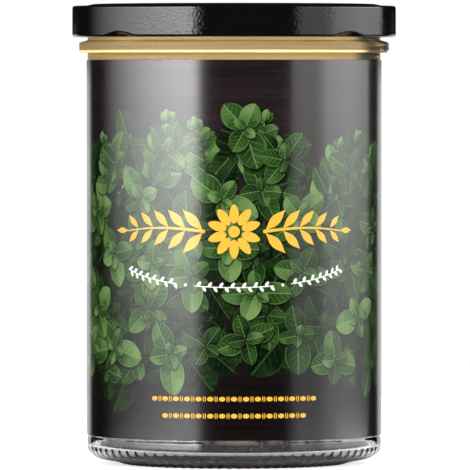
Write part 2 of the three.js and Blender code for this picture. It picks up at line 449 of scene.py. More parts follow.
def disc(name, radius, hole, height, material):
    """A level disc, or a ring if it has a hole."""
    count = 96
    turns = [TURN * i / count for i in range(count)]
    verts = [(radius * math.cos(t), radius * math.sin(t), height) for t in turns]
    faces = [range(count)]
    if hole:
        verts += [(hole * math.cos(t), hole * math.sin(t), height) for t in turns]
        faces = [[i, (i + 1) % count, count + (i + 1) % count, count + i] for i in range(count)]
    place_stage(name, new_mesh(name, verts, faces), material)


class HERBJAR_OT_stage(bpy.types.Operator):
    """Make the camera, the pale floor and the soft light"""

    bl_idname = "herbjar.stage"
    bl_label = "Stage"

    def execute(self, context):
        stage = context.scene.herb_jar.stage
        self.add_camera(context, stage)
        self.add_world(context)
        low, high, reach = -stage.box_foot, stage.box_top, stage.reach
        fill_top, back_share = 1.2, 0.35
        soft_box("left_light", -23.5, -125, low, high, reach, lambda t: self.left(t, stage))
        soft_box("right_light", 45, 128, low, high, reach, lambda t: self.right(t, stage))
        self.add_low_lights(stage)
        soft_box("backdrop", 150, 210, low, stage.back_top, reach, lambda t: stage.back_light)
        soft_box("fill_light", -80, 80, 0.01, fill_top, reach, lambda t: stage.fill_light)
        soft_box("back_fill", 115, 245, 0.1, fill_top, reach, lambda t: back_share * stage.fill_light)
        disc("top_light", 0.4, 0, 1.3, glow("top_light", lambda t: stage.top_light))
        pale = (0.9, 0.9, 0.89, 1)
        floor, tree, shader = finish("floor", Base_Color=pale, Roughness=0.9, Specular_IOR_Level=0.1)
        shader.inputs["Emission Color"].default_value = (1, 1, 1, 1)
        seen = node(tree, "LightPath").outputs["Is Camera Ray"]
        feed(tree, shader.inputs["Emission Strength"], times(tree, seen, 0.7))
        near = 0.045
        disc("inner_floor", near, 0, 0, floor)
        disc("outer_floor", stage.floor_radius, near, 0, floor)
        return {"FINISHED"}

    def add_camera(self, context, stage):
        data = bpy.data.cameras.new("camera")
        data.lens = stage.lens
        data.clip_end = 20
        camera = bpy.data.objects.new("camera", data)
        context.scene.collection.objects.link(camera)
        turn = stage.height_angle
        back = Vector((0, -math.cos(turn), math.sin(turn)))
        camera.location = Vector(stage.aim) + back * stage.distance
        camera.rotation_euler = (-back).to_track_quat("-Z", "Y").to_euler()
        context.scene.camera = camera
        context.scene.view_settings.view_transform = "Standard"

    def add_low_lights(self, stage):
        """Thin strips near the jar, just under floor level, for the clear heel to mirror."""
        near, level = 0.3, 0.2

        def left(tree):
            return times(tree, self.left(tree, stage), 1.5)

        def right(tree):
            return times(tree, self.right(tree, stage), 2.4)

        soft_box("low_left_light", -22, -118, -0.0102, -0.0068, near, left, level)
        soft_box("low_right_light", 40, 62, -0.0086, -0.007, near, right, level)
        soft_box("low_right_light", 62, 121, -0.0105, -0.0069, near, right, level)

    def add_world(self, context):
        """White behind the jar, and nearly dark for what the jar reflects between its soft boxes."""
        world = bpy.data.worlds.new("studio")
        world.use_nodes = True
        tree = world.node_tree
        tree.nodes.clear()
        seen = node(tree, "LightPath").outputs["Is Camera Ray"]
        ambient = 0.01
        strength = calc(tree, "MULTIPLY_ADD", seen, 1.0 - ambient, ambient)
        sky = node(tree, "Background", {"Color": (1, 1, 1, 1), "Strength": strength})
        node(tree, "OutputWorld", {"Surface": sky.outputs[0]})
        context.scene.world = world

    def left(self, tree, stage):
        """Brightest just inside its soft near edge, and fading evenly to its far one."""
        along, up, _ = parts(tree, map_point(tree, "panel"))
        wave = calc(tree, "COSINE", times(tree, along, math.pi / 2))
        fade = calc(tree, "POWER", calc(tree, "MAXIMUM", wave, 0.0), 1.6)
        edge = remap(tree, along, 0.0, 0.075)
        return times(tree, fade, edge, self.rise(tree, up, 0.03, 1.7), stage.left_light)

    def right(self, tree, stage):
        """A dim panel, and a brighter one beyond it."""
        along, up, _ = parts(tree, map_point(tree, "panel"))
        near = remap(tree, along, 0.26, 0.4, 0.43, 0.97)
        far = remap(tree, along, 0.6, 1.0, 1.0, 0.5)
        return times(tree, near, far, self.rise(tree, up, 0.25, 2.4), stage.right_light)

    def rise(self, tree, up, foot, top):
        """Dimmer below the jar, and brighter above it."""
        below = remap(tree, up, -0.02, 0.115, foot, 1.0)
        return times(tree, below, remap(tree, up, 0.15, 0.3, 1.0, top))


# The glass jar


def glass_outline():
    """From the middle of the underside out, up outside, over the rim, down inside and in over the floor."""
    heel = (HEEL_RADIUS - HEEL_REACH, HEEL_BOTTOM + HEEL_RISE)
    inner = BODY_RADIUS - GLASS_WALL
    bead_radius = 40.4 * MM
    corner = 0.6 * MM
    rim = 1 * MM
    rim_height = GLASS_HIGH.z
    foot = arc((0, 0), FOOT_INNER, PUNT_RISE, 90, 0, 12)
    foot += line(foot[-1], (FOOT_OUTER, 0), 3)
    foot += line(foot[-1], (heel[0], HEEL_BOTTOM), 4)
    outside = arc(heel, HEEL_REACH, HEEL_RISE, -90, 0, 18)[1:]
    outside += [(HEEL_RADIUS, outside[-1][1] + 0.1 * MM), (HEEL_RADIUS, HEEL_TOP - 0.1 * MM)]
    outside += line(outside[-1], (BODY_RADIUS, HEEL_TOP + 0.6 * MM), 4)
    outside += line(outside[-1], (BODY_RADIUS, SHOULDER_HEIGHT), 4)
    outside += [(NECK_RADIUS, LABEL_HIGH.z - 0.1 * MM), (NECK_RADIUS, BEAD_BOTTOM + 0.45 * MM)]
    outside += arc((bead_radius - corner, BEAD_BOTTOM + 1.05 * MM), corner, corner, -90, 0, 5)
    outside += arc((bead_radius - corner, BEAD_TOP - 0.75 * MM), corner, corner, 0, 70, 4)
    outside += [(NECK_RADIUS, BEAD_SLOPE_TOP - 0.45 * MM), (NECK_RADIUS, BAND_HIGH.z + 0.1 * MM)]
    outside += [(FINISH_RADIUS, BAND_HIGH.z + 0.3 * MM)]
    outside += line(outside[-1], (FINISH_RADIUS, rim_height - rim), 18)
    outside += arc((FINISH_RADIUS - rim, rim_height - rim), rim, rim, 0, 90, 6)[1:]
    inside = arc((MOUTH_RADIUS + rim, rim_height - rim), rim, rim, 90, 180, 6)
    inside += [(MOUTH_RADIUS, BEAD_BOTTOM)]
    inside += line(inside[-1], (inner, LABEL_HIGH.z - GLASS_WALL), 3)
    inside += line(inside[-1], (inner, FLOOR_HEIGHT + INNER_HEEL), 6)[:-1]
    inside += arc((inner - INNER_HEEL, FLOOR_HEIGHT + INNER_HEEL), INNER_HEEL, INNER_HEEL, 0, -90, 12)
    inside += line(inside[-1], (0, FLOOR_HEIGHT + FLOOR_CROWN), 6)
    return foot + outside + inside


def shape_glass(radius, height, angle, glass):
    """Presses the ribs into the heel and raises the four threads on the finish."""
    rib_top = 2.6 * MM
    underside = (height < rib_top) & (radius > FOOT_INNER)
    ends = smoothstep(radius, FOOT_OUTER - 2.5 * MM, FOOT_OUTER)
    ends = ends * (1 - smoothstep(height, 1.7 * MM, rib_top))
    groove = (0.5 + 0.5 * np.cos(glass.rib_count * angle)) ** 1.5
    height = height + np.where(underside, glass.rib_depth * groove * ends, 0)
    thread_low, thread_rise, thread_width = 114.1 * MM, 0.03 * MM, 1.6 * MM
    thread_middle = 12
    degrees = np.degrees(angle) - LUG_ANGLE
    from_lug = degrees - LUG_PITCH * np.round((degrees - thread_middle) / LUG_PITCH)
    along = smoothstep(from_lug, -14, -7) * (1 - smoothstep(from_lug, 31, 38))
    up = (height - thread_low - thread_rise * (from_lug + 10)) / thread_width
    ridge = smoothstep(up, 0, 0.3) * (1 - smoothstep(up, 0.7, 1))
    on_finish = (height > BAND_HIGH.z + 0.2 * MM) & (radius > FINISH_RADIUS - 0.1 * MM)
    return radius + np.where(on_finish, 2 * MM * along * ridge, 0), height


class HERBJAR_OT_glass(bpy.types.Operator):
    """Make the glass jar, with its ribbed heel and its threads"""

    bl_idname = "herbjar.glass"
    bl_label = "Glass jar"

    def execute(self, context):
        glass = context.scene.herb_jar.glass
        segments = 6 * glass.rib_count
        mesh = turned("glass", glass_outline(), segments, 40, lambda r, h, a: shape_glass(r, h, a, glass))
        material, tree, shader = finish(
            "clear_glass", Base_Color=tuple(glass.tint), Roughness=0.0, Transmission_Weight=1.0, IOR=1.5
        )
        waves = speckle(tree, object_point(tree), 45, 1.0)
        roughen(tree, shader, waves, 0.06 * MM)
        mesh.materials.append(material)
        add_piece("clear_jar", mesh, "jar", "glass", "glass_jar")
        return {"FINISHED"}


# The growing medium


def medium_outline():
    """From the middle of the floor out, up the wall and in over the top."""
    wall = MEDIUM_HIGH.x
    floor = FLOOR_HEIGHT - 0.02 * MM
    mound = MEDIUM_HIGH.z - 1.5 * MM
    corner = 0.8 * MM
    rows = [(0, floor + FLOOR_CROWN)] + line((0, floor + FLOOR_CROWN), (wall - INNER_HEEL, floor), 8)
    rows += arc((wall - INNER_HEEL, floor + INNER_HEEL), INNER_HEEL, INNER_HEEL, -90, 0, 12)[1:]
    rows += line(rows[-1], (wall, 12 * MM), 10)
    rows += line(rows[-1], (wall, mound - corner), 42)
    rows += arc((wall - corner, mound - corner), corner, corner, 0, 90, 3)[1:]
    rows += line(rows[-1], (0, mound), 30)
    return rows


def crumble(radius, height, angle, crumb):
    """Pulls the medium in from the glass between its crumbs, and heaps its top in low mounds."""
    wall = MEDIUM_HIGH.x
    made_radius, made_height = radius.copy(), height.copy()
    top = height > MEDIUM_HIGH.z - 1.6 * MM
    for index in np.ndindex(radius.shape):
        r, h, a = radius[index], height[index], angle[index]
        place = Vector((r * math.sin(a), -r * math.cos(a), h))
        coarse = noise.noise(place / crumb)
        fine = noise.noise(place / crumb * 2.7)
        lumps = 0.5 * abs(coarse) + 0.3 * abs(fine)
        if top[index]:
            swell = noise.noise(place / (14 * MM))
            made_height[index] = h + (1.1 * swell + 0.9 * lumps - 0.4) * MM
        if r > 0.9 * wall:
            made_radius[index] = r - 0.7 * MM * lumps
    return made_radius, np.minimum(made_height, MEDIUM_HIGH.z)


class HERBJAR_OT_medium(bpy.types.Operator):
    """Make the growing medium that fills the lower part of the jar"""

    bl_idname = "herbjar.medium"
    bl_label = "Growing medium"

    def execute(self, context):
        medium = context.scene.herb_jar.medium
        mesh = turned("medium", medium_outline(), 420, 60, lambda r, h, a: crumble(r, h, a, medium.crumb))
        material, tree, shader = finish("compost", Roughness=0.9, Specular_IOR_Level=0.05)
        place = object_point(tree)
        crumbs = node(tree, "TexVoronoi", {"Vector": place, "Scale": 1 / medium.crumb})
        grains = node(tree, "TexVoronoi", {"Vector": place, "Scale": 3.2 / medium.crumb, "Randomness": 1.0})
        tone = node(tree, "SeparateColor", {0: grains.outputs["Color"]}).outputs[0]
        patch = speckle(tree, place, 130, 4.0, 0.65)
        dry = remap(tree, calc(tree, "MULTIPLY_ADD", tone, 0.45, patch), 0.72, 1.0)
        colour = blend(tree, dry, tuple(medium.dark), tuple(medium.light))
        fleck = remap(tree, tone, 0.97, 0.98)
        colour = blend(tree, fleck, colour, (0.12, 0.07, 0.045, 1))
        level = parts(tree, place)[2]
        # A pale speckled band on the compost from about 6 mm up, fading out between 8 and 12 mm.
        above, below = remap(tree, level, 0.0062, 0.0067), remap(tree, level, 0.012, 0.008)
        pale_band = times(tree, above, below, remap(tree, patch, 0.38, 0.6))
        feed(tree, shader.inputs["Base Color"], blend(tree, pale_band, colour, (0.26, 0.23, 0.21, 1)))
        relief = calc(tree, "MULTIPLY_ADD", patch, 0.8, crumbs.outputs["Distance"])
        roughen(tree, shader, relief, 0.8 * MM)
        mesh.materials.append(material)
        add_piece("compost", mesh, "jar", "medium", "growing_medium")
        return {"FINISHED"}


# The label, whose print is drawn flat in millimetres and then wrapped round the jar

LEAF_BASE, LEAF_TIP = 0.5, 0.62
LEAF_PEAK = LEAF_BASE / (LEAF_BASE + LEAF_TIP)
LEAF_NORM = LEAF_PEAK**LEAF_BASE * (1 - LEAF_PEAK) ** LEAF_TIP
KINDS = ("ground", "leaf", "stem", "gold", "white", "shadow")
# No face is owned by a shadow, so its number is the slot of the plain paper.
PAPER_SLOT = KINDS.index("shadow")
Ink = collections.namedtuple("Ink", "kind outline tone place")
Place = collections.namedtuple("Place", "across up turn length width")
NO_PLACE = Place(0, 0, 0, 1, 1)


def onto_sheet(points, place):
    """Moves points from a leaf's own axes, in leaf lengths along it, onto the sheet."""
    c, s = math.cos(place.turn), math.sin(place.turn)
    scaled = [(x * place.length, y * place.width) for x, y in points]
    return [(place.across + c * x - s * y, place.up + s * x + c * y) for x, y in scaled]


def both_sides(side):
    """Round a leaf of length 1, from its base along one side to the tip, and back."""
    return [(0, 0)] + [(x, -w) for x, w in side] + [(1, 0)] + [(x, w) for x, w in reversed(side)]


def leaf_points(steps):
    """Round a herb leaf of length 1 and half width 1."""
    shares = [0.5 - 0.5 * math.cos(math.pi * i / steps) for i in range(1, steps)]
    return both_sides([(x, x**LEAF_BASE * (1 - x) ** LEAF_TIP / LEAF_NORM) for x in shares])


def disc_points(steps):
    return [(math.cos(TURN * i / steps), math.sin(TURN * i / steps)) for i in range(steps)]


def stroke(path, widths):
    """The outline of a line of changing width along a path."""
    left, right = [], []
    for i, (x, y) in enumerate(path):
        ax, ay = path[max(i - 1, 0)]
        bx, by = path[min(i + 1, len(path) - 1)]
        length = math.hypot(bx - ax, by - ay)
        nx, ny = (ay - by) / length, (bx - ax) / length
        half = widths[i] / 2
        left.append((x + nx * half, y + ny * half))
        right.append((x - nx * half, y - ny * half))
    return right + left[::-1]


def add_leaf(inks, place, tone, steps, shaded):
    if shaded:
        across, up = place.across + 0.25, place.up - 0.5
        under = Place(across, up, place.turn, place.length * 1.04, place.width * 1.06)
        inks.append(Ink("shadow", onto_sheet(leaf_points(6), under), 0.4, NO_PLACE))
    inks.append(Ink("leaf", onto_sheet(leaf_points(steps), place), tone, place))


def add_rosette(inks, draw, across, up, length, tone, steps, shaded):
    """Leaf pairs that cross each other round a growing tip, the largest underneath."""
    turn = draw.uniform(0, TURN)
    squash = draw.uniform(0.7, 1.0)
    for scale, out in ((1.0, 0.1), (0.8, 0.06), (0.5, 0.02)):
        for side in (0, math.pi):
            angle = turn + side + draw.uniform(-0.35, 0.35)
            size = length * scale * draw.uniform(0.8, 1.15)
            if scale < 1:
                size *= squash
            half = size * draw.uniform(0.33, 0.43)
            x = across + out * length * math.cos(angle)
            y = up + out * length * math.sin(angle)
            shade = tone + draw.uniform(-0.2, 0.2) + 0.12 * (1 - scale)
            add_leaf(inks, Place(x, y, angle, size, half), shade, steps, shaded)
        turn += math.pi / 2 + draw.uniform(-0.25, 0.25)


def add_sprig(inks, draw, across, up, height, lean, length):
    """An upright shoot with leaf pairs that grow smaller towards its tip."""
    count = 8
    path = [(across + lean * (i / count) ** 2 * height, up + i / count * height) for i in range(count + 1)]
    widths = [0.5 - 0.3 * i / count for i in range(count + 1)]
    inks.append(Ink("stem", stroke(path, widths), 0.5, NO_PLACE))
    for i in (0, 2, 4, 6, 8):
        size = length * (1.05 - 0.075 * i)
        x, y = path[i]
        for side in (-1, 1):
            angle = math.pi / 2 - 1.2 * lean + side * draw.uniform(0.7, 1.35)
            half = size * draw.uniform(0.32, 0.42)
            place = Place(x + 0.4 * side, y, angle, size * draw.uniform(0.8, 1.1), half)
            add_leaf(inks, place, draw.uniform(0.4, 0.9), 9, True)
    top = length * 0.4
    place = Place(*path[-1], math.pi / 2 - 1.5 * lean + draw.uniform(-0.3, 0.3), top, top * 0.36)
    add_leaf(inks, place, 0.8, 9, True)


def scattered(draw, spacing, reach, floor, ceiling):
    """Random points on the sheet, none nearer to another than spacing, between two edges that wave."""
    points = []
    misses = 0
    while misses < 400:
        x = draw.uniform(-reach, reach)
        y = draw.uniform(floor(x), ceiling(x))
        if all((x - a) ** 2 + (y - b) ** 2 > spacing**2 for a, b in points):
            points.append((x, y))
            misses = 0
        else:
            misses += 1
    return points


def foliage(draw, reach, length):
    """A band of herb leaves right round the sheet, dark at the back and lighter in front."""
    inks = []

    def floor(x):
        return 28 + 4 * math.sin(x / 12 + 1) + 2.5 * math.sin(x / 4.9)

    def ceiling(x):
        return 83 + 5 * math.sin(x / 13 + 2.2) + 3 * math.sin(x / 5.3 + 1)

    for x, y in scattered(draw, length * 0.62, reach, floor, ceiling):
        size = length * draw.uniform(1.1, 1.4)
        place = Place(x, y, draw.uniform(0, TURN), size, size * draw.uniform(0.38, 0.46))
        add_leaf(inks, place, draw.uniform(-0.05, 0.12), 6, False)
    sprigs = round(2 * reach / 15)
    for i in range(sprigs):
        x = -reach + 2 * reach * (i + 0.5) / sprigs + draw.uniform(-3, 3)
        base = ceiling(x) - 9
        add_sprig(inks, draw, x, base, draw.uniform(10, 16), draw.uniform(-0.4, 0.4), length * 0.9)
    for x, y in scattered(draw, length * 1.2, reach, floor, ceiling):
        add_rosette(inks, draw, x, y, length * 0.95, draw.uniform(0.08, 0.36), 7, False)
    for x, y in scattered(draw, length * 1.35, reach, floor, ceiling):
        add_rosette(inks, draw, x, y, length, draw.uniform(0.3, 0.72), 10, True)
    return inks


def add_shape(inks, kind, outline, place):
    inks.append(Ink(kind, onto_sheet(outline, place), 0.5, NO_PLACE))


def lens_points(steps):
    """Round a leaf that is pointed at both ends, of length 1 and half width 1."""
    shares = [i / steps for i in range(1, steps)]
    return both_sides([(x, math.sin(math.pi * x) ** 1.3) for x in shares])


def gold_ornament(middle):
    """A rosette between two laurel branches, across the middle of the front."""
    inks = []

    def gold(outline, *place):
        add_shape(inks, "gold", outline, Place(*place))

    def bow(t):
        return middle + 0.9 * math.sin(t * math.pi)

    petals, petal_base = 10, 2.1
    for i in range(petals):
        turn = TURN * (i + 0.5) / petals
        x, y = petal_base * math.cos(turn), middle + petal_base * math.sin(turn)
        gold(leaf_points(8), x, y, turn, 5.0, 1.25)
    gold(disc_points(24), 0, middle, 0, 1.5, 1.5)
    pairs, pitch, start, steps = 5, 4.7, 8.2, 16
    for side, outward in ((-1, math.pi), (1, 0)):
        path = [(side * (start - 0.6 + 23.4 * i / steps), bow(i / steps)) for i in range(steps + 1)]
        add_stroke(inks, "gold", path, [0.85 - 0.55 * i / steps for i in range(steps + 1)])
        for i in range(pairs):
            x, size = side * (start + i * pitch), 7.6 - 0.75 * i
            for up in (-1, 1):
                turn = outward + side * up * 0.78
                gold(lens_points(9), x, bow(i / pairs) + 0.3 * up, turn, size, size * 0.17)
        gold(lens_points(9), side * (start + 22.4), middle + 0.1, outward, 4.4, 0.75)
    return inks


def add_stroke(inks, kind, path, widths):
    outline = stroke(path, widths)
    twice_area = sum(x0 * y1 - x1 * y0 for (x0, y0), (x1, y1) in zip(outline, outline[1:] + outline[:1]))
    inks.append(Ink(kind, outline if twice_area > 0 else outline[::-1], 0.5, NO_PLACE))


def white_garland(middle, reach, sag):
    """Three twigs with alternate leaves along a shallow arc, and a dot between each two."""
    inks = []

    def spot(t):
        return reach * math.sin(t * 1.1) / math.sin(1.1), middle - sag * math.cos(t * 1.4)

    for start, end in ((-1, -0.42), (-0.28, 0.28), (0.42, 1)):
        steps = 14
        path = [spot(start + (end - start) * i / steps) for i in range(steps + 1)]
        add_stroke(inks, "white", path, [0.26] * (steps + 1))
        for i in range(1, steps + 1):
            (ax, ay), (bx, by) = path[i - 1], path[i]
            along = math.atan2(by - ay, bx - ax)
            up = 1 if i % 2 else -1
            place = Place(bx - 0.5 * (bx - ax), by - 0.5 * (by - ay), along + up * 0.95, 1.55, 0.42)
            add_shape(inks, "white", leaf_points(5), place)
    for t in (-0.35, 0.35):
        add_shape(inks, "white", disc_points(12), Place(*spot(t), 0, 0.42, 0.42))
    return inks


def bead_row(up, reach):
    """A row of long beads with a pair of thin bars between each two."""
    inks = []
    pitch = 3.1
    count = round(2 * reach / pitch)
    for i in range(count):
        x = (i - (count - 1) / 2) * pitch
        add_shape(inks, "gold", disc_points(14), Place(x, up, 0, 0.85, 0.62))
        if i < count - 1:
            for step in (-0.26, 0.26):
                add_shape(inks, "gold", disc_points(8), Place(x + pitch / 2 + step, up, 0, 0.14, 0.8))
    return inks


def matched(point, spots, points):
    """A point's number, the same for points less than about a thousandth of a millimetre apart."""
    tiny = 0.0002
    for across in (0, -tiny, tiny):
        for up in (0, -tiny, tiny):
            key = (round(point[0] + across, 3), round(point[1] + up, 3))
            if key in spots:
                return spots[key]
    key = (round(point[0], 3), round(point[1], 3))
    spots[key] = len(points)
    points.append(key)
    return spots[key]


def cut_sheet(inks, lines, low, high, strips):
    """Cuts the sheet along every outline and upright line, with each face owned by the ink on top.

    The work is done for a few strips at a time, as it slows down fast with the number of outlines.
    Returns points in millimetres on the sheet, and for each face its corners, its ink and its shade."""
    boxes = np.array([(*np.min(ink.outline, 0), *np.max(ink.outline, 0)) for ink in inks])
    spots, points, faces = {}, [], []
    inside_only, nearness = 1, 1e-4
    for first in range(0, len(lines) - 1, strips):
        cuts = lines[first:first + strips + 1]
        rings = [[(a, low), (b, low), (b, high), (a, high)] for a, b in zip(cuts, cuts[1:])]
        near = np.nonzero((boxes[:, 0] < cuts[-1]) & (boxes[:, 2] > cuts[0]))[0]
        rings += [inks[i].outline for i in near]
        coords, loops = [], []
        for ring in rings:
            loops.append(list(range(len(coords), len(coords) + len(ring))))
            coords += [Vector(p) for p in ring]
        cut, _, cut_faces, _, _, covers = delaunay_2d_cdt(coords, [], loops, inside_only, nearness, True)
        numbers = {}
        for corners, cover in zip(cut_faces, covers):
            if not any(c < strips for c in cover):
                continue
            owner, shade = None, 1.0
            for index in sorted((near[c - strips] for c in cover if c >= strips), reverse=True):
                if inks[index].kind == "shadow":
                    shade *= inks[index].tone
                else:
                    owner = inks[index]
                    break
            for c in corners:
                if c not in numbers:
                    numbers[c] = matched(cut[c], spots, points)
            face = [numbers[c] for c in corners]
            if len(set(face)) == len(face):
                faces.append((face, owner, shade))
    return points, faces


def leaf_share(point, place):
    """A point of the sheet in a leaf's own axes, in leaf lengths."""
    x, y = point[0] - place.across, point[1] - place.up
    c, s = math.cos(place.turn), math.sin(place.turn)
    return ((c * x + s * y) / place.length, (c * y - s * x) / place.width)


def wrap_label(label):
    """The label as one closed skin: the cut print outside, its four edges, and plain paper inside."""
    outer, low, high = LABEL_HIGH.x, LABEL_LOW.z / MM, LABEL_HIGH.z / MM
    inner = outer - LABEL_THICKNESS
    reach = (math.pi * outer - label.seam / 2) / MM
    draw = random.Random(label.seed)
    inks = foliage(draw, reach - 0.5, label.leaf_length / MM)
    inks += gold_ornament(62) + white_garland(53, 30.5, 5.5) + bead_row(18.6, 23.5) + bead_row(14.2, 20.5)
    count, strips = 144, 6
    lines = [round(-reach + 2 * reach * i / count, 3) for i in range(count + 1)]
    low, high = round(low, 3), round(high, 3)
    points, faces = cut_sheet(inks, lines, low, high, strips)

    def rolled(point, radius):
        turn = point[0] * MM / outer
        return (radius * math.sin(turn), -radius * math.cos(turn), point[1] * MM)

    verts = [rolled(p, outer) for p in points]
    index = {p: i for i, p in enumerate(points)}
    start = sorted((p for p in points if p[0] == lines[0]), key=lambda p: p[1])
    end = sorted((p for p in points if p[0] == lines[-1]), key=lambda p: p[1])
    edge = [(x, low) for x in lines] + end[1:-1] + [(x, high) for x in reversed(lines)] + start[-2:0:-1]
    copies = {}
    for p in edge:
        copies[p] = len(verts)
        verts.append(rolled(p, inner))
    loops = [corners for corners, _, _ in faces]
    for p, q in zip(edge, edge[1:] + edge[:1]):
        loops.append([index[q], index[p], copies[p], copies[q]])
    for i, (a, b) in enumerate(zip(lines, lines[1:])):
        right = [copies[p] for p in end[1:-1]] if b == lines[-1] else []
        left = [copies[p] for p in start[-2:0:-1]] if i == 0 else []
        back = [copies[a, low], copies[b, low], *right, copies[b, high], copies[a, high], *left]
        loops.append(back[::-1])
    mesh = new_mesh("label", verts, loops)
    paint_label(mesh, points, faces)
    roll_normals(mesh, len(faces))
    return mesh


def paint_label(mesh, points, faces):
    """Gives each face its ink, its place on its leaf, its tone and its place on the sheet."""
    count = len(mesh.loops)
    leaf, tone, sheet = np.zeros((count, 2)), np.zeros((count, 2)), np.zeros((count, 2))
    slots = np.full(len(mesh.polygons), PAPER_SLOT, np.int32)
    corner = 0
    for face, (corners, owner, shade) in enumerate(faces):
        slots[face] = KINDS.index(owner.kind if owner else "ground")
        for i in corners:
            if owner and owner.kind == "leaf":
                leaf[corner] = leaf_share(points[i], owner.place)
            tone[corner] = (owner.tone if owner else 0.5, shade)
            sheet[corner] = (points[i][0] * MM, points[i][1] * MM)
            corner += 1
    mesh.polygons.foreach_set("material_index", slots)
    for name, values in (("leaf", leaf), ("tone", tone), ("sheet", sheet)):
        mesh.uv_layers.new(name=name).data.foreach_set("uv", values.ravel())


def roll_normals(mesh, front_faces):
    """Smooth round the jar on both faces, and square at the edges."""
    mesh.shade_smooth()
    normals = []
    for face in mesh.polygons:
        flat = face.index >= front_faces and abs(face.normal.z) > 0.5
        for i in face.vertices:
            place = mesh.vertices[i].co
            outward = Vector((place.x, place.y, 0)).normalized()
            facing = face.normal.dot(outward)
            if flat or abs(facing) < 0.5:
                normals.append(face.normal.copy())
            else:
                normals.append(outward if facing > 0 else -outward)
    mesh.normals_split_custom_set(normals)


def varnished(name, label, paint):
    """A material of printed ink under varnish. paint(tree, sheet) gives its colour."""
    material, tree, shader = finish(name, Roughness=label.gloss, IOR=1.8)
    sheet = map_point(tree, "sheet")
    feed(tree, shader.inputs["Base Color"], paint(tree, sheet))
    shiver = speckle(tree, stretched(tree, sheet, (40, 2600, 1)), 1.0, 3.0)
    rough = remap(tree, shiver, 0.3, 0.7, label.gloss - 0.02, label.gloss + 0.02)
    feed(tree, shader.inputs["Roughness"], rough)
    return material


def leaf_paint(tree, sheet, label):
    """A leaf's colour: one half lighter, a pale midrib, side veins and margin, and the tone of its layer."""
    along, across, _ = parts(tree, map_point(tree, "leaf"))
    tone, shade, _ = parts(tree, map_point(tree, "tone"))
    off = calc(tree, "ABSOLUTE", across)
    base = calc(tree, "POWER", along, LEAF_BASE)
    tip = calc(tree, "POWER", calc(tree, "SUBTRACT", 1.0, along), LEAF_TIP)
    width = times(tree, base, 1 / LEAF_NORM, tip)
    out = calc(tree, "DIVIDE", off, calc(tree, "MAXIMUM", width, 0.05))
    side = remap(tree, across, -0.25, 0.25, -0.1, 0.1)
    length = remap(tree, along, 0.0, 0.75, -0.2, 0.1)
    mottle = calc(tree, "MULTIPLY_ADD", speckle(tree, sheet, 420, 3.0), 0.4, -0.2)
    value = calc(tree, "ADD", calc(tree, "ADD", tone, side), calc(tree, "ADD", length, mottle))
    ramp = node(tree, "ValToRGB", {0: value})
    stops = ramp.color_ramp.elements
    stops[0].position, stops[0].color = 0.06, tuple(label.leaf_dark)
    stops[1].position, stops[1].color = 1.0, tuple(label.leaf_light)
    middle = stops.new(0.6)
    middle.color = tuple(label.leaf_mid)
    rib = calc(tree, "SUBTRACT", 1.0, remap(tree, off, 0.02, 0.075))
    slant = calc(tree, "MULTIPLY_ADD", off, -0.3, along)
    ripple = calc(tree, "SINE", times(tree, slant, 34.0))
    veins = times(tree, remap(tree, ripple, 0.75, 1.0), remap(tree, out, 1.0, 0.4), 0.2)
    margin = times(tree, remap(tree, out, 0.84, 0.97), 0.3)
    pale = calc(tree, "MAXIMUM", calc(tree, "MAXIMUM", times(tree, rib, 0.5), veins), margin)
    pale = times(tree, pale, remap(tree, tone, 0.0, 0.6, 0.25, 1.0))
    return dimmed(tree, blend(tree, pale, ramp.outputs[0], (0.15, 0.24, 0.085, 1)), shade)


def ground_paint(tree, sheet, label):
    """Dark stained wood with fine level grain, darker towards the bottom of the sheet."""
    fine = speckle(tree, stretched(tree, sheet, (22, 1500, 1)), 1.0, 5.0, 0.62)
    broad = speckle(tree, stretched(tree, sheet, (7, 190, 1)), 1.0, 3.0)
    both = calc(tree, "MULTIPLY_ADD", fine, 0.75, times(tree, broad, 0.5))
    grain = remap(tree, both, 0.38, 0.9, 0.45, 1.8)
    level = parts(tree, sheet)[1]
    return dimmed(tree, tuple(label.ground), times(tree, grain, remap(tree, level, 0.015, 0.07, 0.4, 1.0)))


def plain_paint(tree, sheet, colour, change):
    """Solid ink with a slight unevenness."""
    strength = calc(tree, "MULTIPLY_ADD", speckle(tree, sheet, 900, 2.0), change, 1 - change / 2)
    return dimmed(tree, colour, strength)


class HERBJAR_OT_label(bpy.types.Operator):
    """Print the label and wrap it round the jar"""

    bl_idname = "herbjar.label"
    bl_label = "Label"

    def execute(self, context):
        label = context.scene.herb_jar.label
        mesh = wrap_label(label)
        mesh.materials.append(varnished("print_ground", label, lambda t, p: ground_paint(t, p, label)))
        mesh.materials.append(varnished("print_leaf", label, lambda t, p: leaf_paint(t, p, label)))
        for name in ("stem", "gold", "white"):
            ink = tuple(getattr(label, name))
            printed = varnished("print_" + name, label, lambda t, p: plain_paint(t, p, ink, 0.2))
            mesh.materials.append(printed)
        paper, tree, shader = finish("paper", Roughness=0.7)
        white = (0.62, 0.61, 0.58, 1)
        feed(tree, shader.inputs["Base Color"], plain_paint(tree, object_point(tree), white, 0.12))
        mesh.materials.append(paper)
        add_piece("printed_label", mesh, "jar", "label_print", "label")
        return {"FINISHED"}


# The gold band


def band_outline(band):
    """The outer face upwards, then the inner face back down."""
    sides = []
    for inset in (0, band.thickness):
        neck = FINISH_RADIUS - inset
        bead = BAND_HIGH.x - inset
        corner = 0.6 * MM
        face = [(neck, BAND_LOW.z)]
        face += line(face[-1], (neck, BEAD_BOTTOM + inset), 6)
        face += arc((bead - corner, BEAD_BOTTOM + corner + inset), corner, corner, -90, 0, 8)
        face += line(face[-1], (bead, BEAD_TOP - corner / 2 - inset), 4)
        face += arc((bead - corner, BEAD_TOP - corner / 2 - inset), corner, corner, 0, 70, 6)[1:]
        face += line(face[-1], (neck, BEAD_SLOPE_TOP - inset), 5)
        face += line(face[-1], (neck, BAND_HIGH.z), 4)
        sides.append(face)
    return sides[0] + sides[1][::-1]


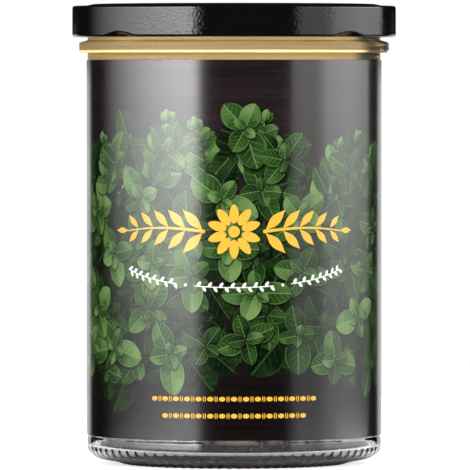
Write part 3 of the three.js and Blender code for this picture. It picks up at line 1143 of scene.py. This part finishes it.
def ripple_band(radius, height, angle):
    """Slight hand-rolled waves round the band."""
    outer = radius > FINISH_RADIUS - 0.05 * MM
    wave = np.sin(angle * 3 + height / MM * 1.9) * 0.5 + np.sin(angle * 7 - height / MM * 3.1) * 0.5
    edge = smoothstep(np.minimum(height - BAND_LOW.z, BAND_HIGH.z - height), 0, 0.6 * MM)
    return radius - np.where(outer, (0.02 + 0.02 * wave) * MM * edge, 0), height


class HERBJAR_OT_band(bpy.types.Operator):
    """Make the gold band round the neck"""

    bl_idname = "herbjar.band"
    bl_label = "Neck band"

    def execute(self, context):
        band = context.scene.herb_jar.band
        mesh = turned("band", band_outline(band), 320, 50, ripple_band)
        material, tree, shader = finish("satin_gold", Roughness=0.36, Specular_IOR_Level=0.12)
        wrap = map_point(tree, "wrap")
        lines = speckle(tree, stretched(tree, wrap, (25, 2400, 1)), 1.0, 3.0)
        strength = remap(tree, lines, 0.25, 0.75, 0.88, 1.12)
        across, depth, level = parts(tree, object_point(tree))
        # Painted highlight: edge and face make a bright line along the bead's lower corner.
        edge = remap(tree, level, BEAD_BOTTOM - 0.15 * MM, BEAD_BOTTOM + 0.1 * MM, 1.06, 4.0)
        face = remap(tree, level, BEAD_BOTTOM + 0.35 * MM, BEAD_BOTTOM + 0.8 * MM, 1.0, 0.2)
        # Painted light: slope lightens all of the band above the bead, where the lid's overhang shades it.
        slope = remap(tree, level, BEAD_TOP - 0.2 * MM, BEAD_SLOPE_TOP, 1.0, 4.2)
        # Painted reflection: dark streaks on the band towards its right side, between about 52 and 86
        # degrees round from the front.
        turn = calc(tree, "ARCTAN2", across, times(tree, depth, -1.0))
        dark_reflection_side = times(tree, remap(tree, turn, 0.9, 1.08), remap(tree, turn, 1.5, 1.36))
        streaks = speckle(tree, stretched(tree, wrap, (75, 700, 1)), 1.0, 1.0)
        painted_dark_reflection = times(tree, dark_reflection_side, remap(tree, streaks, 0.3, 0.45))
        dark_reflection_dimming = calc(tree, "MULTIPLY_ADD", painted_dark_reflection, -0.9, 1.0)
        strength = times(tree, strength, edge, face, slope, dark_reflection_dimming)
        feed(tree, shader.inputs["Base Color"], dimmed(tree, tuple(band.gold), strength))
        feed(tree, shader.inputs["Roughness"], remap(tree, lines, 0.25, 0.75, 0.34, 0.44))
        roughen(tree, shader, lines, 0.02 * MM)
        mesh.materials.append(material)
        add_piece("gold_band", mesh, "jar", "gold_band", "neck_band")
        return {"FINISHED"}


# The lid


def lid_outline(lid):
    """The inner face from the middle out and down, then the outer face back up and in."""
    radius, top, edge = LID_HIGH.x, LID_HIGH.z, LID_LOW.z - 0.05 * MM
    rim, panel, slope, roll_top = 120.7 * MM, 121.22 * MM, 3.2 * MM, 114.6 * MM
    sheet, roll, corner = lid.sheet, lid.roll, lid.corner
    inside = radius - sheet
    hidden = corner * 0.55
    under = [(0, top - sheet)] + line((0, top - sheet), (PANEL_RADIUS, panel - sheet), 14)
    under += line(under[-1], (PANEL_RADIUS + slope, rim - sheet), 6)
    under += line(under[-1], (inside - hidden, rim - sheet), 2)
    under += arc((inside - hidden, rim - sheet - hidden), hidden, hidden, 90, 0, 5)[1:]
    under += line(under[-1], (inside, roll_top), 8)
    under += arc((radius - roll, edge + roll), roll, roll, 150, 270, 14)
    under += arc((radius - lid.curl, edge + lid.curl), lid.curl, lid.curl, 270, 360, 10)
    over = line(under[-1], (radius, rim - corner), 44)
    over += arc((radius - corner, rim - corner), corner, corner, 0, 90, 10)[1:]
    over += line(over[-1], (PANEL_RADIUS + slope, rim), 3)
    steps = 10
    for i in range(1, steps + 1):
        t = i / steps
        over.append((PANEL_RADIUS + slope * (1 - t), rim + (panel - rim) * smoothstep(t, 0, 1)))
    over += line(over[-1], (0, top), 16)
    return under + over


def press_lugs(radius, height, angle, lid):
    """Presses the rolled edge in at each lug, below a low arch."""
    turn = np.degrees(angle) - LUG_ANGLE
    from_lug = np.abs(turn - LUG_PITCH * np.round(turn / LUG_PITCH))
    half_angle, arch = 11.5, 1.3 * MM
    share = np.cos(np.minimum(from_lug / half_angle, 1) * math.pi / 2) ** 2
    top = LID_LOW.z + arch * share
    depth = smoothstep(top - height, -0.1 * MM, 0.8 * MM)
    outer = radius > LID_HIGH.x - 2.2 * lid.roll
    return radius - np.where(outer, lid.lug_push * share * depth, 0), height


class HERBJAR_OT_lid(bpy.types.Operator):
    """Make the black twist-off lid"""

    bl_idname = "herbjar.lid"
    bl_label = "Lid"

    def execute(self, context):
        lid = context.scene.herb_jar.lid
        mesh = turned("lid", lid_outline(lid), 480, 45, lambda r, h, a: press_lugs(r, h, a, lid))
        material, tree, shader = finish("black_lacquer", Base_Color=tuple(lid.lacquer), Roughness=0.07)
        place = object_point(tree)
        peel = speckle(tree, place, 1300, 2.0)
        grain = speckle(tree, place, 60, 2.0)
        feed(tree, shader.inputs["Roughness"], remap(tree, grain, 0.3, 0.7, 0.05, 0.1))
        roughen(tree, shader, peel, 0.05 * MM)
        mesh.materials.append(material)
        add_piece("twist_lid", mesh, "cap", "black_lacquer", "lid")
        return {"FINISHED"}


# The sealing ring


def liner_outline():
    """Round the ring, from its inner side down, out, up and back in."""
    low, high = LINER_LOW.z, LINER_HIGH.z
    inner, outer = MOUTH_RADIUS, LINER_HIGH.x
    corner = 0.2 * MM
    rim = 120.15 * MM
    rows = arc((inner + corner, low + corner), corner, corner, 180, 270, 4)
    rows += arc((outer - corner, low + corner), corner, corner, 270, 360, 4)
    rows += arc((outer - corner, rim - corner), corner, corner, 0, 80, 4)
    rows += [(PANEL_RADIUS, high - 0.01 * MM), (inner + corner, high)]
    rows += arc((inner + corner, high - corner), corner, corner, 95, 180, 4)
    return rows


class HERBJAR_OT_liner(bpy.types.Operator):
    """Make the sealing ring under the lid"""

    bl_idname = "herbjar.liner"
    bl_label = "Sealing ring"

    def execute(self, context):
        liner = context.scene.herb_jar.liner
        mesh = turned("liner", liner_outline(), 240, 50)
        material, tree, shader = finish("soft_seal", Roughness=0.6, Specular_IOR_Level=0.35)
        place = object_point(tree)
        feed(tree, shader.inputs["Base Color"], plain_paint(tree, place, tuple(liner.rubber), 0.15))
        roughen(tree, shader, speckle(tree, place, 700, 3.0), 0.03 * MM)
        mesh.materials.append(material)
        add_piece("sealing_ring", mesh, "cap", "liner", "lid_liner")
        return {"FINISHED"}


OPERATORS = (
    HERBJAR_OT_stage,
    HERBJAR_OT_glass,
    HERBJAR_OT_medium,
    HERBJAR_OT_label,
    HERBJAR_OT_band,
    HERBJAR_OT_lid,
    HERBJAR_OT_liner,
)


class HERBJAR_PT_pieces(bpy.types.Panel):
    """Lists the pieces of the jar, with their sizes and colours"""

    bl_idname = "HERBJAR_PT_pieces"
    bl_label = "Herb growing jar"
    bl_space_type = "VIEW_3D"
    bl_region_type = "UI"
    bl_category = "Herb jar"

    def draw(self, context):
        settings = context.scene.herb_jar
        for operator in OPERATORS:
            box = self.layout.box()
            box.operator(operator.bl_idname)
            group = getattr(settings, operator.bl_idname.split(".")[1])
            for name in group.__annotations__:
                box.prop(group, name)


GROUPS = (
    StageSettings,
    GlassSettings,
    MediumSettings,
    LabelSettings,
    BandSettings,
    LidSettings,
    LinerSettings,
    HerbJarSettings,
)


def register():
    for item in (*GROUPS, *OPERATORS, HERBJAR_PT_pieces):
        bpy.utils.register_class(item)
    bpy.types.Scene.herb_jar = bpy.props.PointerProperty(type=HerbJarSettings)


def unregister():
    del bpy.types.Scene.herb_jar
    for item in (HERBJAR_PT_pieces, *reversed(OPERATORS), *reversed(GROUPS)):
        bpy.utils.unregister_class(item)


def main():
    """Makes the stage and every piece."""
    register()
    for operator in OPERATORS:
        getattr(bpy.ops.herbjar, operator.bl_idname.split(".")[1])()


if __name__ == "__main__":
    main()
